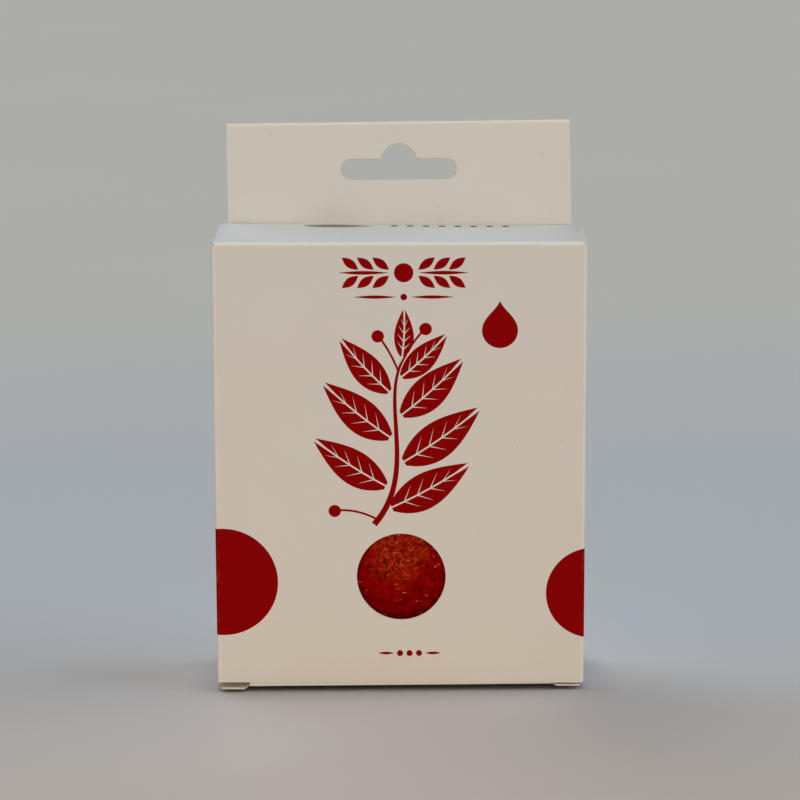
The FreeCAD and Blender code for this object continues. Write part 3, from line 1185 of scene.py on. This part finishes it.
def cell_random(cells, salt):
    """Even random numbers from 0 to 1 for whole-number cells, by a hash with large odd factors."""
    n = cells.astype(np.int64).astype(np.uint32)
    h = n[:, 0] * np.uint32(73856093) ^ n[:, 1] * np.uint32(19349663) ^ n[:, 2] * np.uint32(83492791)
    h = h ^ np.uint32(salt * 2654435761 % 2**32)
    for shift in (16, 13, 16):
        h = (h ^ (h >> np.uint32(shift))) * np.uint32(0x85EBCA6B)
    return (h >> np.uint32(8)).astype(float) / 2**24


def pores(points, size, share, salt):
    """Depth of round pores, from 0 between them to 1 in their middles, at points in space."""
    scaled = points / size
    home = np.floor(scaled)
    depth = np.zeros(len(points))
    for step in np.ndindex(3, 3, 3):
        cell = home + np.array(step) - 1
        jitter = np.column_stack([cell_random(cell, salt + k) for k in range(3)])
        reach = pore_reach + pore_extra_reach * cell_random(cell, salt + 3)
        there = cell_random(cell, salt + 4) < share
        gap = np.linalg.norm(scaled - cell - jitter, axis=1) / reach
        bowl = np.clip(pore_steepness * (1 - gap * gap), 0, 1)
        depth = np.maximum(depth, np.where(there, bowl, 0))
    return depth


def smooth_noise(points, size, salt):
    """Soft noise from 0 to 1."""
    scaled = points / size
    home = np.floor(scaled)
    share = scaled - home
    share = share * share * (3 - 2 * share)
    total = np.zeros(len(points))
    for step in np.ndindex(2, 2, 2):
        weight = np.prod(np.where(np.array(step) == 1, share, 1 - share), axis=1)
        total += weight * cell_random(home + np.array(step), salt)
    return total


def ball_grid(cells, rounding=1e6):
    """Directions and quads of a ball made from the six faces of a cube, joined at their edges."""
    turn = np.tan(np.linspace(-np.pi / 4, np.pi / 4, cells + 1))
    a, b = np.meshgrid(turn, turn, indexing="ij")
    one = np.ones_like(a)
    sides = [(a, b, one), (-a, b, -one), (one, a, b), (-one, -a, b), (b, one, a), (-b, -one, a)]
    places = np.concatenate([np.column_stack([c.ravel() for c in side]) for side in sides])
    index = np.arange((cells + 1) ** 2).reshape(cells + 1, cells + 1)
    corners = (index[:-1, :-1], index[1:, :-1], index[1:, 1:], index[:-1, 1:])
    quad = np.column_stack([corner.ravel() for corner in corners])
    quads = np.concatenate([quad + k * index.size for k in range(len(sides))])
    keys, number = np.unique(np.round(places * rounding).astype(np.int64), axis=0, return_inverse=True)
    directions = keys / rounding
    directions /= np.linalg.norm(directions, axis=1)[:, None]
    return directions, number.ravel()[quads]


def sponge_profile():
    """Half section of the sponge, from the middle of its dome to the middle of its flat back."""
    radius = high("konjac_sponge", "x")
    dome = low("konjac_sponge", "y")
    height = high("konjac_sponge", "y") - sponge_rim_depth - dome
    shoulder = sponge_shoulder_share * height
    crown = ((radius - shoulder) ** 2 + height**2 - shoulder**2) / (2 * (height - shoulder))
    turn = math.degrees(math.atan2(radius - shoulder, crown - height))
    return Path(
        (0, dome),
        0,
        bend(turn, crown),
        bend(90 - turn, shoulder),
        run(sponge_rim_depth - sponge_back_radius),
        bend(90, sponge_back_radius),
        run(radius - sponge_back_radius),
    )


def make_sponge():
    """Porous half-ball with a flat back."""
    directions, quads = ball_grid(sponge_cells)
    polar = np.arccos(np.clip(-directions[:, 1], -1, 1)) / np.pi
    round_axis = np.arctan2(directions[:, 2], directions[:, 0])
    path = sponge_profile()
    section, normal = path.at(path.length * polar * (1 - sponge_crowding + sponge_crowding * polar))
    away = np.column_stack([np.cos(round_axis), np.zeros(len(polar)), np.sin(round_axis)])
    points = away * section[:, :1] + np.outer(section[:, 1], (0, 1, 0))
    normals = away * normal[:, :1] + np.outer(normal[:, 1], (0, 1, 0))
    depth = np.zeros(len(points))
    for number, (size, deep, share) in enumerate(pore_layers):
        depth = np.maximum(depth, deep * pores(points, size, share, layer_salt * number + 1))
    lumps = lump_height * smooth_noise(points, lump_size, lump_salt)
    centre = (low("konjac_sponge", "z") + high("konjac_sponge", "z")) / 2
    places = points - normals * (depth + lumps)[:, None] + np.array([0, 0, centre])
    sponge = add_piece("konjac_sponge_foam", places, quads.tolist(), [foam()])
    finish_mesh(sponge.data, "pore", depth / max(deep for _, deep, _ in pore_layers))
    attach(sponge, "sponge")
    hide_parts("konjac_sponge")


def dust_and_light_patches(m):
    """Where the foam is paler: a main patch on the dome that is partly dust and partly painted light, and
    patches of dust well away from it.
    """
    spot = m.distance((dust_and_light_centre[0], low("konjac_sponge", "y"), dust_and_light_centre[1]))
    uneven = m.times(m.noise(scale=190), dust_and_light_unevenness / METRE)
    near = m.span(m.sum(spot, uneven), (dust_and_light_radius + dust_and_light_edge) / METRE, dust_and_light_radius / METRE)
    away = m.span(spot, far_dust_start / METRE, far_dust_full / METRE)
    return m.sum(near, m.times(m.span(m.noise(scale=60), 0.5, 0.62), away))


def foam():
    """Dry red plant foam: deep red, with a pale lace of pore walls in patches of dust and painted light,
    painted shade in the pores and small painted glints.
    """
    m = Nodes("konjac_foam", roughness=0.55, specular=0.0)
    dust_and_light = dust_and_light_patches(m)
    wall_gap = m.cell_walls(scale=860, place=m.warped(scale=700, reach=2.2))
    lace = m.span(m.sum(wall_gap, m.times(m.noise(scale=900, detail=2), 0.3)), 0.33, 0.16)
    red = m.mix(m.noise(scale=90), foam_deep, foam_bright)
    # pale colour of the patches of dust and painted light, laid on the pore walls as a lace
    dust_and_light_colour = m.mix(m.noise(scale=330), dust_and_light_dull, dust_and_light_pale)
    colour = m.mix(m.times(dust_and_light, m.span(lace, 0, 1, first=0.04, last=0.95)), red, dust_and_light_colour)
    # painted shade: the pores are darkened by their depth, more inside the pale patches
    hollow = m.span(m.attribute("pore"), 0.2, 0.85)
    colour = m.mix(m.times(hollow, m.span(dust_and_light, 0, 1, first=0.42, last=0.68)), colour, foam_pore_shade)
    colour = m.multiplied(colour, m.span(m.noise(scale=620), 0.34, 0.66, first=0.68, last=1.33))
    glints = m.span(m.noise(scale=760, detail=2, stretch=(0.6, 1.0, 1.5)), 0.645, 0.72)
    gathered = m.span(m.noise(scale=130, detail=1), 0.4, 0.52)
    colour = m.mix(m.times(m.times(glints, gathered), 0.85), colour, foam_glint)
    m.bump(m.sum(wall_gap, m.noise(scale=2400, detail=4)), strength=0.38, distance=0.25)
    return m.colour(colour)


make_sponge()

# Camera of the photograph, with its turns in degrees and its clipping in metres
camera_place = (6.233, -871.59, 273.35)
camera_yaw = -0.4096
camera_pitch = 12.6723
camera_roll = -0.1915
camera_lens = 146.55
camera_sensor = 36.0
camera_clip = (0.01, 50.0)

camera = bpy.data.objects.new("camera", bpy.data.cameras.new("camera"))
bpy.context.scene.collection.objects.link(camera)
camera.data.lens = camera_lens
camera.data.sensor_width = camera_sensor
camera.data.clip_start, camera.data.clip_end = camera_clip
camera.matrix_world = (
    Matrix.Translation(Vector(camera_place) / METRE)
    @ Matrix.Rotation(math.radians(-camera_yaw), 4, "Z")
    @ Matrix.Rotation(math.radians(90 - camera_pitch), 4, "X")
    @ Matrix.Rotation(math.radians(camera_roll), 4, "Z")
)
bpy.context.scene.camera = camera
bpy.context.scene.view_settings.view_transform = "Standard"

# Table
table_half = 6000.0
table_roll = 0.0065     # fall of the table toward the carton's left
table_near = -90.0
table_far = 550.0
# painted light: table colours near the camera, between, and far behind the carton
table_warm = (0.84, 0.72, 0.655)
table_cool = (0.775, 0.762, 0.80)
table_neutral = (0.875, 0.815, 0.755)


def table_top():
    """Pale matt table, tinted by distance as painted light: warmer close to the camera and far behind the
    carton, cooler between.
    """
    m = Nodes("pale_floor", roughness=0.75, specular=0.2)
    depth = m.span(m.axis("Y"), table_near / METRE, table_far / METRE)
    painted_light_tint = m.ramp(depth, (0.0, table_warm), (0.2, table_cool), (0.55, table_cool), (1.0, table_neutral))
    return m.colour(m.multiplied(painted_light_tint, m.ramp(m.noise(scale=3, detail=2), (0.3, 0.97), (0.7, 1.0))))


def make_floor():
    """Plain pale table, as low as the middle of the bulging bottom panel."""
    places = []
    for side, end in ((-1, -1), (1, -1), (1, 1), (-1, 1)):
        x = side * table_half
        places.append(Vector((x, end * table_half, table_roll * x + base_bulge)))
    floor = add_piece("floor", places, [(0, 1, 2, 3)], [table_top()])
    return floor


# Soft lights from all over the sky: name, azimuth and height in degrees, spread, strength and colour.
# Azimuth 0 is in front of the carton, and 90 is to its right.
sky_lights = (
    ("overhead", 180, 88, 10, 0.64, (0.98, 1.0, 0.92)),
    ("warm_front", 0, 15, 30, 1.40, (1.0, 0.82, 0.61)),
    ("cool_right", 90, 35, 50, 0.80, (0.68, 0.86, 1.0)),
    ("cool_back", -135, 45, 50, 0.72, (0.82, 0.90, 0.95)),
)
room_light = (0.06, 0.06, 0.06)


def make_lights(floor):
    """Sun lamps and a dim room; the low front lamp leaves the table out, so the foot keeps its shadow."""
    all_but_floor = bpy.data.collections.new("all_but_floor")
    all_but_floor.objects.link(floor)
    all_but_floor.collection_objects[0].light_linking.link_state = "EXCLUDE"
    for name, azimuth, height, spread, strength, colour in sky_lights:
        light = bpy.data.lights.new(name, "SUN")
        light.energy = strength
        light.color = colour
        light.angle = math.radians(spread)
        lamp = bpy.data.objects.new(name, light)
        lamp.rotation_euler = (math.radians(90 - height), 0, math.radians(azimuth))
        bpy.context.scene.collection.objects.link(lamp)
        if name == "warm_front":
            lamp.light_linking.receiver_collection = all_but_floor
    world = bpy.data.worlds.new("soft_room")
    world.use_nodes = True
    world.node_tree.nodes["Background"].inputs["Color"].default_value = (*room_light, 1.0)
    bpy.context.scene.world = world


make_lights(make_floor())
